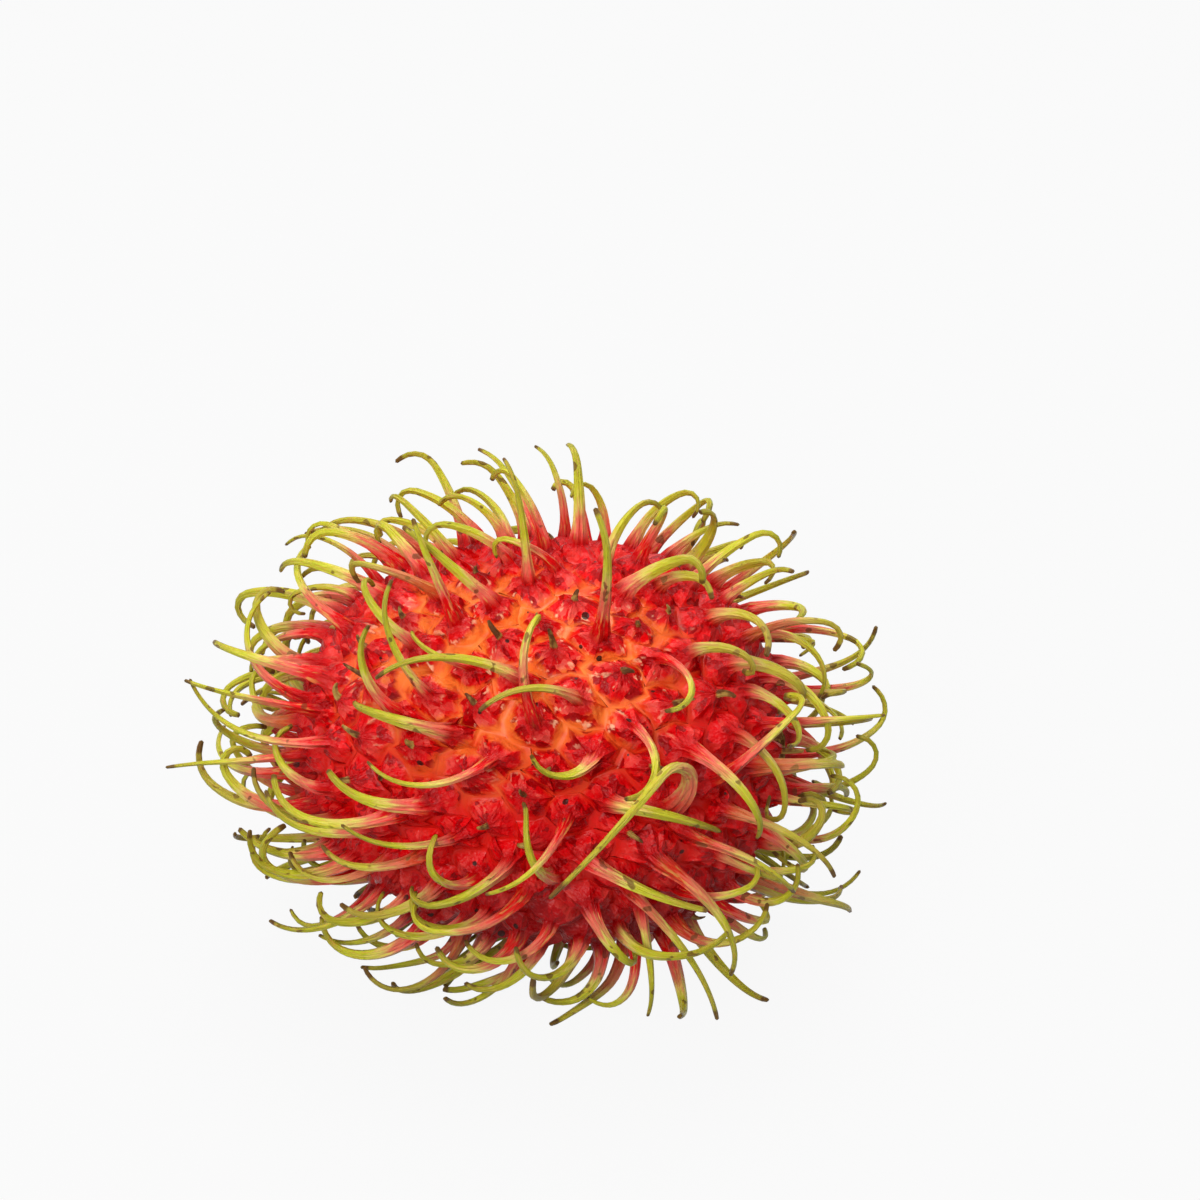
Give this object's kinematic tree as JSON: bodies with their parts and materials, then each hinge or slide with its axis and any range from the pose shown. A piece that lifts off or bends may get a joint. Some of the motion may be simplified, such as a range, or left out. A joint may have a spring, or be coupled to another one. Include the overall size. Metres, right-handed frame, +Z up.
{
  "type": "rambutan",
  "caption": "Whole ripe rambutan fruit lying on its side: an egg-shaped red rind covered in soft curling spines, with a woody scar where it hung from its stalk",
  "frame": {"origin": "on the surface that the fruit lies on, under the middle of its box", "axes": "+X along the fruit towards its stalk scar, +Y to its back, +Z up"},
  "size_m": [0.0694, 0.0621, 0.0552],
  "materials": {
    "skin": "waxy crimson rind, orange in the grooves, with spines that go from pink at the root to yellow-green and brown at the tip"
  },
  "bodies": {
    "root": {"rambutan": "skin"}
  },
  "joints": []
}
